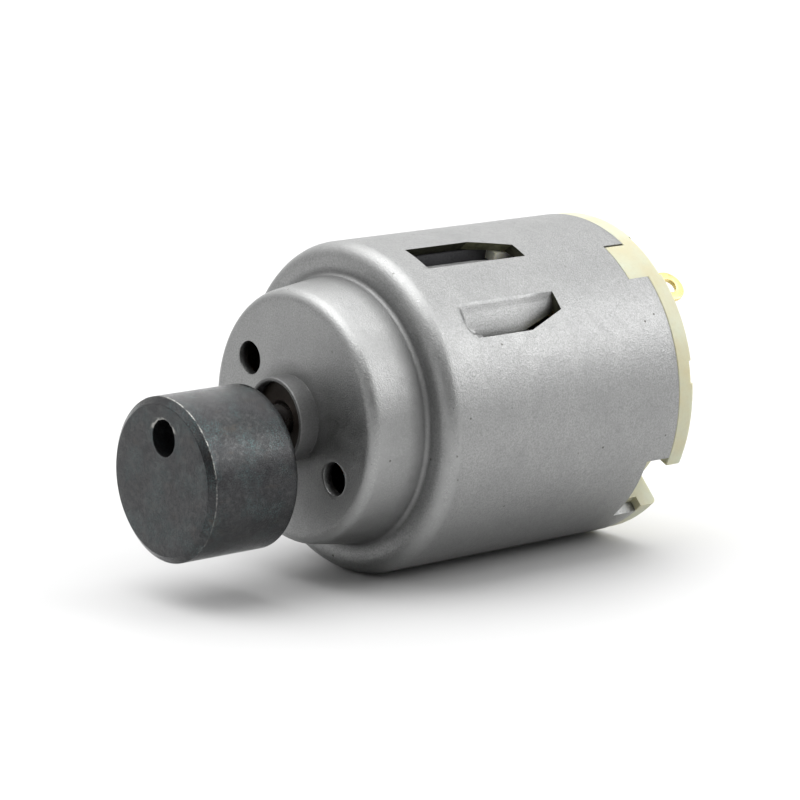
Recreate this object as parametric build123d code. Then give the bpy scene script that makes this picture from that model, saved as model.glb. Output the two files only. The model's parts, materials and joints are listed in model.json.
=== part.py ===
from build123d import *
import os
from math import cos, radians, sin

# Cylindrical brushed DC motor with an eccentric weight on its shaft, lying on its side.
# Millimetres. The shaft runs along Y and its output end points to -Y; +Z is up.
# The origin is on the shaft axis, at the flat front mounting face of the can.
# Angles are in the XZ plane, in degrees from +X towards +Z.

# Driving dimensions: steel can
can_radius = 12.0
can_wall = 0.8
can_length = 26.5
step_front_radius = 9.05
step_base_radius = 9.65
step_depth = 4.5
shoulder_fillet = 1.2
collar_radius = 3.07
collar_bore = 2.78
collar_length = 1.55
stator_angle = 52.8
can_inner = can_radius - can_wall

# Driving dimensions: mounting holes
hole_circle = 12.0
hole_radius = 1.2

# Driving dimensions: locating tabs lanced out of the can wall, half angles from stator_angle
tab_hinge = 8.7
tab_free = 21.9
tab_front = 7.8
tab_rear = 16.9
tab_corner_start = 13.6
tab_corner_end = 0.15
tab_bend_length = 1.8
tab_depth = 1.25

# Driving dimensions: notches in the rear rim, half angles
key_half = 8.3
key_depth = 2.0
vent_half = 14.0
vent_depth = 2.3

# Driving dimensions: end cap
cap_rear = 28.1
cap_plate = 1.2
cap_skirt_front = 22.4
cap_skirt_wall = 0.75
cap_rim_inner = 8.6
cap_ledge = 0.4
hub_rear = 30.5
hub_radius = 3.7
hub_front_step = 0.45
hub_mouth = 1.7
hub_mouth_depth = 0.6
finger_front = 15.95
finger_near = 18.4
finger_far = 23.7
finger_tip_front = 14.8
finger_tip_near = 20.7
key_clearance = 0.4
key_turn = -0.3
relief_depth = 0.45
relief_inner = 8.9
relief_angles = (-8, 12)
corner_relief_inner = 11.0
corner_relief_angles = (-49, -41)
vent_floor = 9.4
vent_cap_half = 10.5

# Driving dimensions: shaft, bushes and weight
shaft_radius = 1.15
running_clearance = 0.03
shaft_front = -8.6
shaft_rear = 30.1
shaft_chamfer = 0.15
bush_radius = 2.6
bush_chamfer = 0.2
front_bush = (-0.9, 2.4)
rear_bush = (26.6, hub_rear - hub_mouth_depth)
weight_radius = 5.85
weight_front = -11.15
weight_rear = -3.68
weight_centre = (-0.34, -3.03)
weight_chamfer_width = 0.5
weight_chamfer_depth = 0.38
weight_rear_chamfer = 0.15
weight_mouth = 1.28
weight_mouth_depth = 2.4

# Driving dimensions: magnets and armature
magnet_inner = 8.0
magnet_half_angle = 66.0
magnet_front = 6.6
magnet_rear = 21.6
magnet_chamfer = 0.35
clip_front = 8.5
clip_rear = 19.5
clip_thickness = 0.45
clip_leg_inner = 8.9
clip_leg_angle = 2.0
clip_slack = 0.3
core_radius = 7.55
core_front = 8.6
core_rear = 19.6
tooth_half = 1.6
tooth_root = 2.0
tooth_tip = 6.6
core_hub = 3.2
shoe_inner = 6.2
shoe_half_angle = 50.5
insulator_thickness = 0.3
pole_angles = (90, 210, 330)
coil_overhang = 1.9
coil_reach = 4.8
coil_corner = 2.2
coil_half_section = [(3.45, coil_reach), (4.5, 3.9), (5.7, 1.7)]

# Driving dimensions: commutator, brushes and terminals
commutator_radius = 2.6
commutator_hub = 2.15
commutator_front = 21.95
commutator_rear = 25.6
segment_half = 56
riser_radius = 4.1
riser_half = 14
riser_thickness = 0.35
commutator_ring_radius = 3.0
commutator_ring_length = 0.55
hub_end = 26.0
brush_gap = 0.06
brush_width = 2.0
brush_front = 23.4
brush_height = 2.0
brush_thickness = 0.9
arm_thickness = 0.2
arm_overlap = 0.1
arm_tip = 1.2
arm_foot = (-0.9, 1.0)
arm_slope = 1.8
terminal_angle = -7.5
terminal_radius = 9.9
terminal_width = 2.5
terminal_thickness = 0.35
terminal_front = 23.6
terminal_rear = 31.3
terminal_hole = 0.6

# Driving dimensions: spacer and washers on the shaft, as (outer radius, front, rear)
front_spacer = (2.1, 2.95, core_front - insulator_thickness)
front_washer = (2.5, 2.6, 2.9)
rear_washer = (2.3, 26.05, 26.35)

# Clearance between seated pieces, and a reach past the outside for cuts
fit_gap = 0.05
past = 1.0
shaft_line = Axis((0, 0, 0), (0, -1, 0))


def polar(radius, angle, y=0.0):
    """Point at a radius and angle round the shaft."""
    return Vector(radius * cos(radians(angle)), y, radius * sin(radians(angle)))


def turned(outline):
    """Solid turned about the shaft line from a closed outline of (radius, y, corner radius)."""
    face = make_face(Polyline([(r, y) for r, y, _ in outline], close=True)).face()
    for r, y, rounding in outline:
        if rounding:
            corner = face.vertices().sort_by_distance((r, y, 0))[0]
            face = face.fillet_2d(rounding, [corner])
    return revolve(face, shaft_line)


def sector(inner, outer, front, rear, start, stop):
    """Ring segment between two radii, two stations along the shaft and two angles."""
    face = make_face(Polyline((inner, front), (outer, front), (outer, rear), (inner, rear), close=True))
    return revolve(face, shaft_line, revolution_arc=stop - start).rotate(shaft_line, start)


def radial_plane(radius, angle):
    """Plane facing outwards: its first axis runs along the shaft, its second towards larger angles."""
    return Plane(origin=polar(radius, angle), x_dir=(0, 1, 0), z_dir=polar(1, angle))


def radial_block(outline, angle, outer, inner):
    """Prism with an outline of (y, sideways) points, standing along a radius."""
    face = make_face(Polyline(outline, close=True))
    return extrude(radial_plane(outer, angle) * face, amount=inner - outer)


def axial_block(outline, front, rear, angle):
    """Prism along the shaft from an outline of (radial, sideways) points seen from the rear."""
    plane = Plane(origin=(0, front, 0), x_dir=polar(1, angle), z_dir=(0, 1, 0))
    face = make_face(Polyline([(radial, -sideways) for radial, sideways in outline], close=True))
    return extrude(plane * face, amount=rear - front)


def window_outline(side, grow_fixed, shrink_cut):
    """Outline of a tab window: grown on its two hinged edges, shrunk on its two cut edges."""
    half = can_radius * sin(radians((tab_free - tab_hinge) / 2))
    front = tab_front - grow_fixed
    rear = tab_rear - shrink_cut
    corner = tab_corner_end - shrink_cut / 2
    points = [
        (front, -half - grow_fixed),
        (rear, -half - grow_fixed),
        (rear, corner),
        (tab_corner_start - shrink_cut / 2, half - shrink_cut),
        (front, half - shrink_cut),
    ]
    return [(y, side * sideways) for y, sideways in points]


def tab_section(side, y, depth):
    """Cross-section of a tab: flush at its hinge, sunk by depth at its free edge."""
    hinge = stator_angle + side * (tab_hinge - 0.6)
    free = stator_angle + side * tab_free
    corners = [
        polar(can_radius - fit_gap, hinge, y),
        polar(can_inner, hinge, y),
        polar(can_inner - depth, free, y),
        polar(can_radius - fit_gap - depth, free, y),
    ]
    return make_face(Polyline(corners, close=True))


def locating_tab(side):
    """Tab bent inwards from its hinge line and from its front end."""
    bend_end = tab_front + tab_bend_length
    ramp = loft([tab_section(side, tab_front - 0.2, 0), tab_section(side, bend_end, tab_depth)], ruled=True)
    flat = loft([tab_section(side, bend_end, tab_depth), tab_section(side, tab_rear, tab_depth)], ruled=True)
    outline = window_outline(side, 0.3, 0.15)
    trim = radial_block(outline, window_angle(side), can_radius + past, can_radius - 4)
    return (ramp + flat) & trim


def window_angle(side):
    """Angle of the middle of a tab window."""
    return stator_angle + side * (tab_hinge + tab_free) / 2


def make_can():
    """Drawn steel can: open collar, raised front step, shoulder, barrel, tabs and rim notches."""
    can = turned([
        (collar_bore, -collar_length, 0.12),
        (collar_radius, -collar_length, 0.16),
        (collar_radius, 0, 0.4),
        (step_front_radius, 0, 0.9),
        (step_base_radius, step_depth, 0.35),
        (can_radius, step_depth, shoulder_fillet),
        (can_radius, can_length, 0.12),
        (can_inner, can_length, 0.12),
        (can_inner, step_depth + can_wall, shoulder_fillet - can_wall),
        (step_base_radius - can_wall, step_depth + can_wall, 0.35 + can_wall),
        (step_front_radius - can_wall, can_wall, 0.2),
        (collar_bore, can_wall, 0.3),
    ])
    for turn in (90, -90):
        screw_line = polar(hole_circle / 2, stator_angle + turn)
        can -= Pos(screw_line) * Rot(90, 0, 0) * Cylinder(hole_radius, 4 * can_wall)
    for side in (1, -1):
        outline = window_outline(side, 0, 0)
        can -= radial_block(outline, window_angle(side), can_radius + past, can_inner - 0.4)
        can += locating_tab(side)
    for turn in (0, 90, 180, 270):
        half, depth = (key_half, key_depth) if turn % 180 == 0 else (vent_half, vent_depth)
        middle = stator_angle + turn
        can -= sector(
            can_inner - past, can_radius + past, can_length - depth, can_length + past,
            middle - half, middle + half,
        )
    return can


def make_end_cap():
    """Moulded nylon end cap: rim, skirt, magnet fingers, keys, vents, bearing hub and terminal slots."""
    skirt = can_inner - fit_gap
    skirt_inner = skirt - cap_skirt_wall
    rim = can_radius - fit_gap
    plate_front = cap_rear - cap_plate
    cap = turned([
        (bush_radius, plate_front - hub_front_step, 0.15),
        (hub_radius, plate_front - hub_front_step, 0.15),
        (hub_radius, plate_front, 0),
        (skirt_inner, plate_front, 0.3),
        (skirt_inner, cap_skirt_front, 0.2),
        (skirt, cap_skirt_front, 0.3),
        (skirt, can_length, 0),
        (rim, can_length, 0.1),
        (rim, cap_rear, 0.45),
        (cap_rim_inner, cap_rear, 0.15),
        (cap_rim_inner - 0.3, cap_rear - cap_ledge, 0.1),
        (hub_radius + 0.6, cap_rear - cap_ledge, 0.3),
        (hub_radius + 0.2, hub_rear, 0.3),
        (hub_mouth, hub_rear, 0.15),
        (hub_mouth, hub_rear - hub_mouth_depth, 0),
        (bush_radius, hub_rear - hub_mouth_depth, 0),
    ])
    for front, start, stop in (
        (finger_front, finger_near, finger_far),
        (finger_front, -finger_far, -finger_near),
        (finger_tip_front, -finger_far, -finger_tip_near),
    ):
        seat = cap_skirt_front + cap_skirt_wall
        cap += sector(skirt_inner, skirt, front, seat, stator_angle + start, stator_angle + stop)
    outside = can_radius + past
    rear = cap_rear + past
    relief_floor = cap_rear - relief_depth
    slot_half_depth = terminal_thickness / 2 + fit_gap
    slot_half_width = terminal_width / 2 + fit_gap
    for turn in (0, 180):
        middle = stator_angle + turn
        key_reach = key_half - key_clearance
        key_front = can_length - key_depth + 2 * fit_gap
        key = sector(skirt - 0.3, rim, key_front, can_length + 0.3, middle - key_reach, middle + key_reach)
        cap += key.rotate(shaft_line, key_turn)
        slot_outline = [
            (terminal_radius - slot_half_depth, -slot_half_width),
            (terminal_radius + slot_half_depth, -slot_half_width),
            (terminal_radius + slot_half_depth, slot_half_width),
            (terminal_radius - slot_half_depth, slot_half_width),
        ]
        cap -= axial_block(slot_outline, cap_skirt_front - past, rear, middle + terminal_angle)
        for inner, (start, stop) in (
            (relief_inner, relief_angles),
            (corner_relief_inner, corner_relief_angles),
        ):
            cap -= sector(inner, outside, relief_floor, rear, middle + start, middle + stop)
        vent = middle + 90
        cap -= sector(
            vent_floor, outside, cap_skirt_front - past, rear,
            vent - vent_cap_half, vent + vent_cap_half,
        )
    return cap


def make_bush(front, rear, radius):
    """Sintered sleeve bearing with a chamfered bore."""
    bore = shaft_radius + running_clearance
    return turned([
        (bore + bush_chamfer, front, 0),
        (radius, front, 0.15),
        (radius, rear, 0.15),
        (bore + bush_chamfer, rear, 0),
        (bore, rear - bush_chamfer, 0),
        (bore, front + bush_chamfer, 0),
    ])


def make_shaft():
    """Ground steel shaft with chamfered ends."""
    return turned([
        (0, shaft_front, 0),
        (shaft_radius - shaft_chamfer, shaft_front, 0),
        (shaft_radius, shaft_front + shaft_chamfer, 0),
        (shaft_radius, shaft_rear - shaft_chamfer, 0),
        (shaft_radius - shaft_chamfer, shaft_rear, 0),
        (0, shaft_rear, 0),
    ])


def ring(inner, outer, front, rear, rounding=0.0):
    """Plain ring on the shaft line."""
    return turned([(inner, front, 0), (outer, front, rounding), (outer, rear, rounding), (inner, rear, 0)])


def make_weight():
    """Sintered cylinder hung off centre on the shaft, with a wider mouth to its shaft hole."""
    length = weight_rear - weight_front
    body = turned([
        (0, 0, 0),
        (weight_radius - weight_chamfer_width, 0, 0),
        (weight_radius, weight_chamfer_depth, 0),
        (weight_radius, length - weight_rear_chamfer, 0),
        (weight_radius - weight_rear_chamfer, length, 0),
        (0, length, 0),
    ])
    body = Pos(weight_centre[0], weight_front, weight_centre[1]) * body
    body -= rod(shaft_radius, weight_front - past, weight_rear + past)
    return body - rod(weight_mouth, weight_front - past, weight_front + weight_mouth_depth)


def rod(radius, front, rear):
    """Solid rod on the shaft line, for cutting a bore."""
    return turned([(0, front, 0), (radius, front, 0), (radius, rear, 0), (0, rear, 0)])


def make_magnet(middle):
    """Ferrite arc magnet."""
    magnet = sector(
        magnet_inner, can_inner - fit_gap, magnet_front, magnet_rear,
        middle - magnet_half_angle, middle + magnet_half_angle,
    )
    arcs = magnet.edges().filter_by(GeomType.CIRCLE).filter_by(lambda edge: edge.radius > magnet_inner + 1)
    return chamfer(arcs, magnet_chamfer)


def make_clip():
    """Bowed spring clip that spreads the two magnets apart on the far side from the tabs."""
    middle = stator_angle + 180
    reach = 90 - magnet_half_angle - clip_slack
    outer = can_inner - fit_gap
    clip = sector(outer - clip_thickness, outer, clip_front, clip_rear, middle - reach, middle + reach)
    for start in (middle - reach, middle + reach - clip_leg_angle):
        clip += sector(clip_leg_inner, outer, clip_front, clip_rear, start, start + clip_leg_angle)
    return clip


def star(front, rear):
    """Three-pole plate or stack: hub, teeth and curved pole shoes, with the shaft hole."""
    plate = ring(shaft_radius, core_hub, front, rear)
    for angle in pole_angles:
        tooth = [
            (tooth_root, -tooth_half), (tooth_tip, -tooth_half),
            (tooth_tip, tooth_half), (tooth_root, tooth_half),
        ]
        plate += axial_block(tooth, front, rear, angle)
        start = angle - shoe_half_angle
        plate += sector(shoe_inner, core_radius, front, rear, start, start + 2 * shoe_half_angle)
    return plate


def make_coil(angle):
    """Winding round one tooth, with rounded end turns."""
    front = core_front - insulator_thickness - coil_overhang
    rear = core_rear + insulator_thickness + coil_overhang
    section = coil_half_section + [(radial, -sideways) for radial, sideways in reversed(coil_half_section)]
    bundle = axial_block(section, front, rear, angle)
    face = Pos((front + rear) / 2, 0) * RectangleRounded(rear - front, 2 * coil_reach, coil_corner)
    bundle &= extrude(radial_plane(core_radius, angle) * face, amount=-core_radius)
    half = tooth_half + fit_gap
    gap = [(tooth_root, -half), (core_radius, -half), (core_radius, half), (tooth_root, half)]
    return bundle - axial_block(gap, core_front - insulator_thickness, core_rear + insulator_thickness, angle)


def make_segment(angle):
    """Copper commutator segment with the riser that its coil wires are fixed to."""
    front = commutator_front
    segment = sector(
        commutator_hub, commutator_radius, front, commutator_rear,
        angle - segment_half, angle + segment_half,
    )
    return segment + sector(
        commutator_hub, riser_radius, front, front + riser_thickness,
        angle - riser_half, angle + riser_half,
    )


def make_terminal(middle):
    """Brass lug with a rounded end and a solder hole, standing out of the end cap."""
    half = terminal_width / 2
    outer = terminal_radius + terminal_thickness / 2
    eye = terminal_rear - half
    face = Pos((terminal_front + eye) / 2, 0) * Rectangle(eye - terminal_front, terminal_width)
    face += Pos(eye, 0) * Circle(half)
    face -= Pos(eye, 0) * Circle(terminal_hole)
    return extrude(radial_plane(outer, middle) * face, amount=-terminal_thickness)


def make_arm(middle):
    """Leaf spring from the foot of a terminal to the back of its brush."""
    foot = terminal_radius - (terminal_thickness + arm_thickness) / 2
    line = commutator_radius + brush_gap + brush_thickness + arm_thickness / 2
    path = Polyline((foot, arm_foot[0]), (foot, arm_foot[1]), (foot - arm_slope, line), (-arm_tip, line))
    plane = Plane(origin=(0, brush_front - arm_overlap, 0), x_dir=polar(1, middle), z_dir=(0, 1, 0))
    return extrude(plane * trace(path, arm_thickness), amount=brush_height + 2 * arm_overlap)


def make_brush(middle):
    """Carbon brush on the end of its arm, just clear of the commutator."""
    inner = -(commutator_radius + brush_gap)
    outer = inner - brush_thickness
    half = brush_width / 2
    outline = [(-half, inner), (half, inner), (half, outer), (-half, outer)]
    return axial_block(outline, brush_front, brush_front + brush_height, middle)


parts = {
    "motor_can": make_can(),
    "end_cap": make_end_cap(),
    "front_bushing": make_bush(*front_bush, collar_bore),
    "rear_bushing": make_bush(*rear_bush, bush_radius),
    "magnet_a": make_magnet(stator_angle + 90),
    "magnet_b": make_magnet(stator_angle - 90),
    "magnet_spring_clip": make_clip(),
    "shaft": make_shaft(),
    "eccentric_weight": make_weight(),
    "armature_core": star(core_front, core_rear),
    "front_insulator": star(core_front - insulator_thickness, core_front),
    "rear_insulator": star(core_rear, core_rear + insulator_thickness),
    "front_spacer": ring(shaft_radius, *front_spacer, 0.1),
    "front_washer": ring(shaft_radius, *front_washer),
    "rear_washer": ring(shaft_radius, *rear_washer),
    "commutator_hub": ring(shaft_radius, commutator_hub, core_rear + insulator_thickness, hub_end),
    "commutator_ring": ring(
        commutator_radius, commutator_ring_radius,
        commutator_front + riser_thickness + fit_gap,
        commutator_front + riser_thickness + fit_gap + commutator_ring_length,
    ),
}
for number, angle in enumerate(pole_angles, 1):
    parts[f"coil_{number}"] = make_coil(angle)
    parts[f"commutator_segment_{number}"] = make_segment(angle)
for letter, turn in (("a", 0), ("b", 180)):
    middle = stator_angle + terminal_angle + turn
    parts[f"terminal_{letter}"] = make_terminal(middle)
    parts[f"brush_arm_{letter}"] = make_arm(middle)
    parts[f"brush_{letter}"] = make_brush(middle)

os.makedirs("parts", exist_ok=True)
for name, solid in parts.items():
    export_step(solid, f"parts/{name}.step")
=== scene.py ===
import json
from math import atan2, ceil, cos, pi, radians, sin, tan

import bmesh
import bpy
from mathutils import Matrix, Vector, noise


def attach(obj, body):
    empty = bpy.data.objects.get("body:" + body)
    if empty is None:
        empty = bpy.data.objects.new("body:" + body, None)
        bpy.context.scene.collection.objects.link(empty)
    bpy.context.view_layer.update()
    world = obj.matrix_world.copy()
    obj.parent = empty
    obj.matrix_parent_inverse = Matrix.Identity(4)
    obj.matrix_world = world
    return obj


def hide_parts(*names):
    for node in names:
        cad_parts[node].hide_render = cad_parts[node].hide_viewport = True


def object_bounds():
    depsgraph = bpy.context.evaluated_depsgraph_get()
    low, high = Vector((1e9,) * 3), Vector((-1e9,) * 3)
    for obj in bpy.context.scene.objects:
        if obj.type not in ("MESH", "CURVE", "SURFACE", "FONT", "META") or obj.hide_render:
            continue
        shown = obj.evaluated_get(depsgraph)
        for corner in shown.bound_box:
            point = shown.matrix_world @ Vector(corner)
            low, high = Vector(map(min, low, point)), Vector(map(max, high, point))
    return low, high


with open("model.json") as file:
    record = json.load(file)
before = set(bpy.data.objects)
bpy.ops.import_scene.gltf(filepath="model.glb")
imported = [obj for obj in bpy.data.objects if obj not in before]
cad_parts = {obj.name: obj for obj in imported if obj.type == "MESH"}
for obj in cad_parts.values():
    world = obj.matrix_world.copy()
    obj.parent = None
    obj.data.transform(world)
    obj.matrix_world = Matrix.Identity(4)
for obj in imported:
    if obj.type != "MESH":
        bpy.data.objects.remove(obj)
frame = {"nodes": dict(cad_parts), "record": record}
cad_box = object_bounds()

# The shaft runs along Y and points to -Y. Lengths below are millimetres, and MM turns them into metres.
# Angles go round the shaft from +X towards +Z, in degrees.
MM = 0.001

# Smallest difference that counts between two lengths or shares
TINY = 1e-6

# Points closer together than this are one point: on an outline, in a CAD mesh, and once its edges are rounded
NEAR = 1e-4
WELD = 0.0005
SLIVER = 0.003

# Can
CAN_RADIUS = 12.0
WALL = 0.8
INNER_RADIUS = CAN_RADIUS - WALL
CAN_REAR = 26.5
RIM_START = 26.0
RIM_ROUND = 0.14
STEP_FRONT_RADIUS = 9.05
STEP_FRONT_ROUND = 0.9
STEP_BASE_RADIUS = 9.65
STEP_BASE_ROUND = 0.35
STEP_DEPTH = 4.5
SHOULDER_ROUND = 1.2
SHOULDER_END = STEP_DEPTH + SHOULDER_ROUND
COLLAR_RADIUS = 3.07
COLLAR_BORE = 2.78
COLLAR_BORE_END = 0.3
COLLAR_TIP = -1.55

# Angle halfway between the two windows. The rim's notches and the screw holes are placed from it
STATOR = 52.8

# Screw holes, each in a patch that runs between two radii and to each side of its middle, in degrees.
# Rings of faces round a hole: share of the way in from the patch's rim, how much wider than the hole, drop
HOLE_CIRCLE_RADIUS = 6.0
HOLE_RADIUS = 1.2
HOLE_LIP = 0.06
HOLE_RINGS = ((0.4, 0.07, 0), (0.75, 0.07, 0), (1, 0.07, 0), (1, 0.02, 0.4), (1, 0, 1))
PATCH_INNER = 4.3
PATCH_OUTER = 7.7
PATCH_HALF = 17.0
PATCH_ROWS = 6

# Windows and their tabs, at both sides of STATOR: hinge and free edge in degrees from it, and ends along Y.
# The slanted corner from TAB_CORNER to TAB_REAR takes the free edge back by TAB_CORNER_SHIFT degrees
TAB_HINGE = 8.7
TAB_FREE = 21.9
TAB_FRONT = 7.8
TAB_CORNER = 13.6
TAB_REAR = 16.9
TAB_CORNER_SHIFT = 5.9
TAB_WIDTH = 2.76

# Tabs' bend by side: depth at the free edge, and radius of the corner where the front fold meets that edge.
# Folds are TAB_FOLD wide, the hinge's fold takes TAB_STEP of the depth, and bending narrows a tab by degrees
TAB_DEPTH = {1: 1.45, -1: 1.0}
TAB_CORNER_ROUND = {1: 0.02, -1: 1.3}
TAB_FOLD = 0.6
TAB_STEP = 0.1
TAB_NARROWING = 1.6

# Can's mesh: columns in degrees, and rows, which lie closer together over a tab's front fold
COLUMN_STEP = 1.2
ROW_STEP = 0.5
FOLD_ROW_STEP = 0.125
FOLD_ROWS_END = TAB_FRONT + 1.5

# Rows this close to the inner skin's radius lie on it
ON_SKIN = 0.01

# Columns lean to follow the slanted corner. Past the window the lean fades out, over degrees and a length
LEAN_SPREAD = 10.0
LEAN_FADE = 3.5
LEAN_ROWS_END = 20.5

# Inner skin's setback along a window's free edge, in degrees, and how far round the can it fades out.
# Along Y it rises and falls over these lengths
UNDERCUT = 2.9
UNDERCUT_SPREAD = 12.0
UNDERCUT_START = TAB_FRONT - 1.0
UNDERCUT_RISE = 1.2
UNDERCUT_END = TAB_REAR + 2.5
UNDERCUT_FALL = 2.2

# Rim notches: half angle and front end, at the keys and at the vents
KEY_NOTCH = (8.3, 24.5)
VENT_NOTCH = (14.0, 24.2)

# Zones of the can with painted shade and more roughness, each with the length over which it fades: the collar
# with a margin round it, and a spot in the corner at the step's base. Folds from FOLDS_START outwards get
# painted highlight speckles and more gloss
SHADE_MARGIN = 0.25
SHADE_MARGIN_FADE = 0.3
SHADE_SPOT = (STEP_BASE_RADIUS + 0.15, STEP_DEPTH - 0.15)
SHADE_SPOT_RADIUS = 0.3
SHADE_SPOT_FADE = 0.2
FOLDS_START = STEP_FRONT_RADIUS - 1.2

# Weight
WEIGHT_CENTRE = Vector((-0.34, -3.03))
WEIGHT_RADIUS = 5.85
WEIGHT_FRONT = -11.15
WEIGHT_REAR = -3.68
WEIGHT_COLUMNS = 144
SHAFT_RADIUS = 1.15
MOUTH_RADIUS = 1.28
MOUTH_DEPTH = 2.4

# Rows of the weight's mouth by depth, and of its rims by distance in from the side and from the face
MOUTH_ROWS = (MOUTH_DEPTH, 0.8, 0.25, 0.12, 0.08, 0.04)
FRONT_RIM = (
    (0.51, 0.005), (0.49, 0.015), (0.47, 0.03), (0.25, 0.195), (0.07, 0.33),
    (0.05, 0.345), (0.02, 0.37), (0, 0.40), (0, 0.43), (0, 0.46),
)
REAR_RIM = ((0, 0.17), (0.03, 0.11), (0.12, 0.02), (0.18, 0))
FACE_SHARES = (0, 0.12, 0.3, 0.55, 0.8, 1)

# Weight's wear, with painted highlight. Chips: how far they reach out and in from the mouth's edge, and how
# deep and dense they are. Pale line, wear with a painted highlight strongest on its upper side: its two
# depths on the front rim, its palest side, its least strength, and the cosines from that side between which
# it strengthens. Pale mouth, wear with a painted highlight on its upper edge: its width, its depth, and the
# height that it starts from
CHIP_ZONE = 0.3
CHIP_DEPTH = 0.13
CHIPS_PER_MM = 3.1
PALE_LINE = (0.35, 0.445)
HIGHLIGHT_SIDE = radians(50)
PALE_LEAST = 0.25
HIGHLIGHT_RISE = (0.2, 0.9)
PALE_MOUTH = 0.16
PALE_MOUTH_DEPTH = 0.06
PALE_MOUTH_BOTTOM = 0.55

# Turns of the surface, in degrees, that count as sharp: on the can, and on the other pieces built here
CAN_SHARP = 32.0
SHARP = 30.0

# Rounding of hard edges, and on the can the turn from which an edge is rounded
CAN_EDGE = 0.05
CAN_EDGE_TURN = 50.0
LUG_EDGE = 0.06
CAP_EDGE = 0.08


# ---------------------------------------------------------------- mesh helpers

def polar(radius, angle, y):
    """Point round the shaft, in metres."""
    return Vector((radius * cos(radians(angle)), y, radius * sin(radians(angle)))) * MM


def turn_from(middle, angle):
    """Turn from one angle to another, from -180 to 180 degrees."""
    return (angle - middle + 180) % 360 - 180


def even(start, stop, step):
    """Evenly spaced values from start to stop, both included, no further apart than step."""
    count = max(1, ceil(abs(stop - start) / step - TINY))
    return [start + (stop - start) * k / count for k in range(count + 1)]


def through(breaks, step):
    """Evenly spaced values through every break."""
    values = [breaks[0]]
    for start, stop in zip(breaks, breaks[1:]):
        values += even(start, stop, step)[1:]
    return values


def smooth(t):
    """Smooth step from 0 to 1."""
    t = min(1.0, max(0.0, t))
    return t * t * (3 - 2 * t)


def rounded(corners, arc_steps=7):
    """Outline through (radius, y, rounding) corners, each turned with an arc."""
    points = []
    for k, (radius, y, rounding) in enumerate(corners):
        here = Vector((radius, y))
        if not rounding:
            points.append(here)
            continue
        before = (Vector(corners[k - 1][:2]) - here).normalized()
        after = (Vector(corners[(k + 1) % len(corners)][:2]) - here).normalized()
        half = before.angle(after) / 2
        centre = here + (before + after).normalized() * rounding / sin(half)
        start = here + before * rounding / tan(half) - centre
        stop = here + after * rounding / tan(half) - centre
        first = atan2(start.y, start.x)
        turn = (atan2(stop.y, stop.x) - first + pi) % (2 * pi) - pi
        for s in range(arc_steps + 1):
            angle = first + turn * s / arc_steps
            points.append(centre + rounding * Vector((cos(angle), sin(angle))))
    kept = [points[0]]
    for point in points[1:]:
        if (point - kept[-1]).length > NEAR:
            kept.append(point)
    return kept


def add_object(name, data):
    """New object in the scene."""
    obj = bpy.data.objects.new(name, data)
    bpy.context.scene.collection.objects.link(obj)
    return obj


def shade(builder, sharp):
    """Smooth faces, with a sharp edge where the surface turns by sharp degrees or more."""
    for face in builder.faces:
        face.smooth = True
    for edge in builder.edges:
        edge.smooth = len(edge.link_faces) == 2 and edge.calc_face_angle(0) < radians(sharp)


def finish_mesh(builder, name, sharp):
    """Object from a bmesh, with its normals out."""
    bmesh.ops.recalc_face_normals(builder, faces=builder.faces)
    shade(builder, sharp)
    mesh = bpy.data.meshes.new(name)
    builder.to_mesh(mesh)
    builder.free()
    return add_object(name, mesh)


def add_values(mesh, name, values):
    """One number per point, for the material to read."""
    mesh.attributes.new(name, "FLOAT", "POINT").data.foreach_set("value", values)


def round_edges(obj, width, segments, sharp):
    """Bevel on every edge that turns by more than sharp degrees."""
    bevel = obj.modifiers.new("edges", "BEVEL")
    bevel.width = width * MM
    bevel.segments = segments
    bevel.limit_method = "ANGLE"
    bevel.angle_limit = radians(sharp)
    return bevel


def stand_in(obj, body, slot, *nodes):
    """The piece rides on a body and stands for CAD nodes, which are hidden. The slot argument is not used."""
    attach(obj, body)
    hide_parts(*nodes)


# ---------------------------------------------------------------- materials

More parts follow.
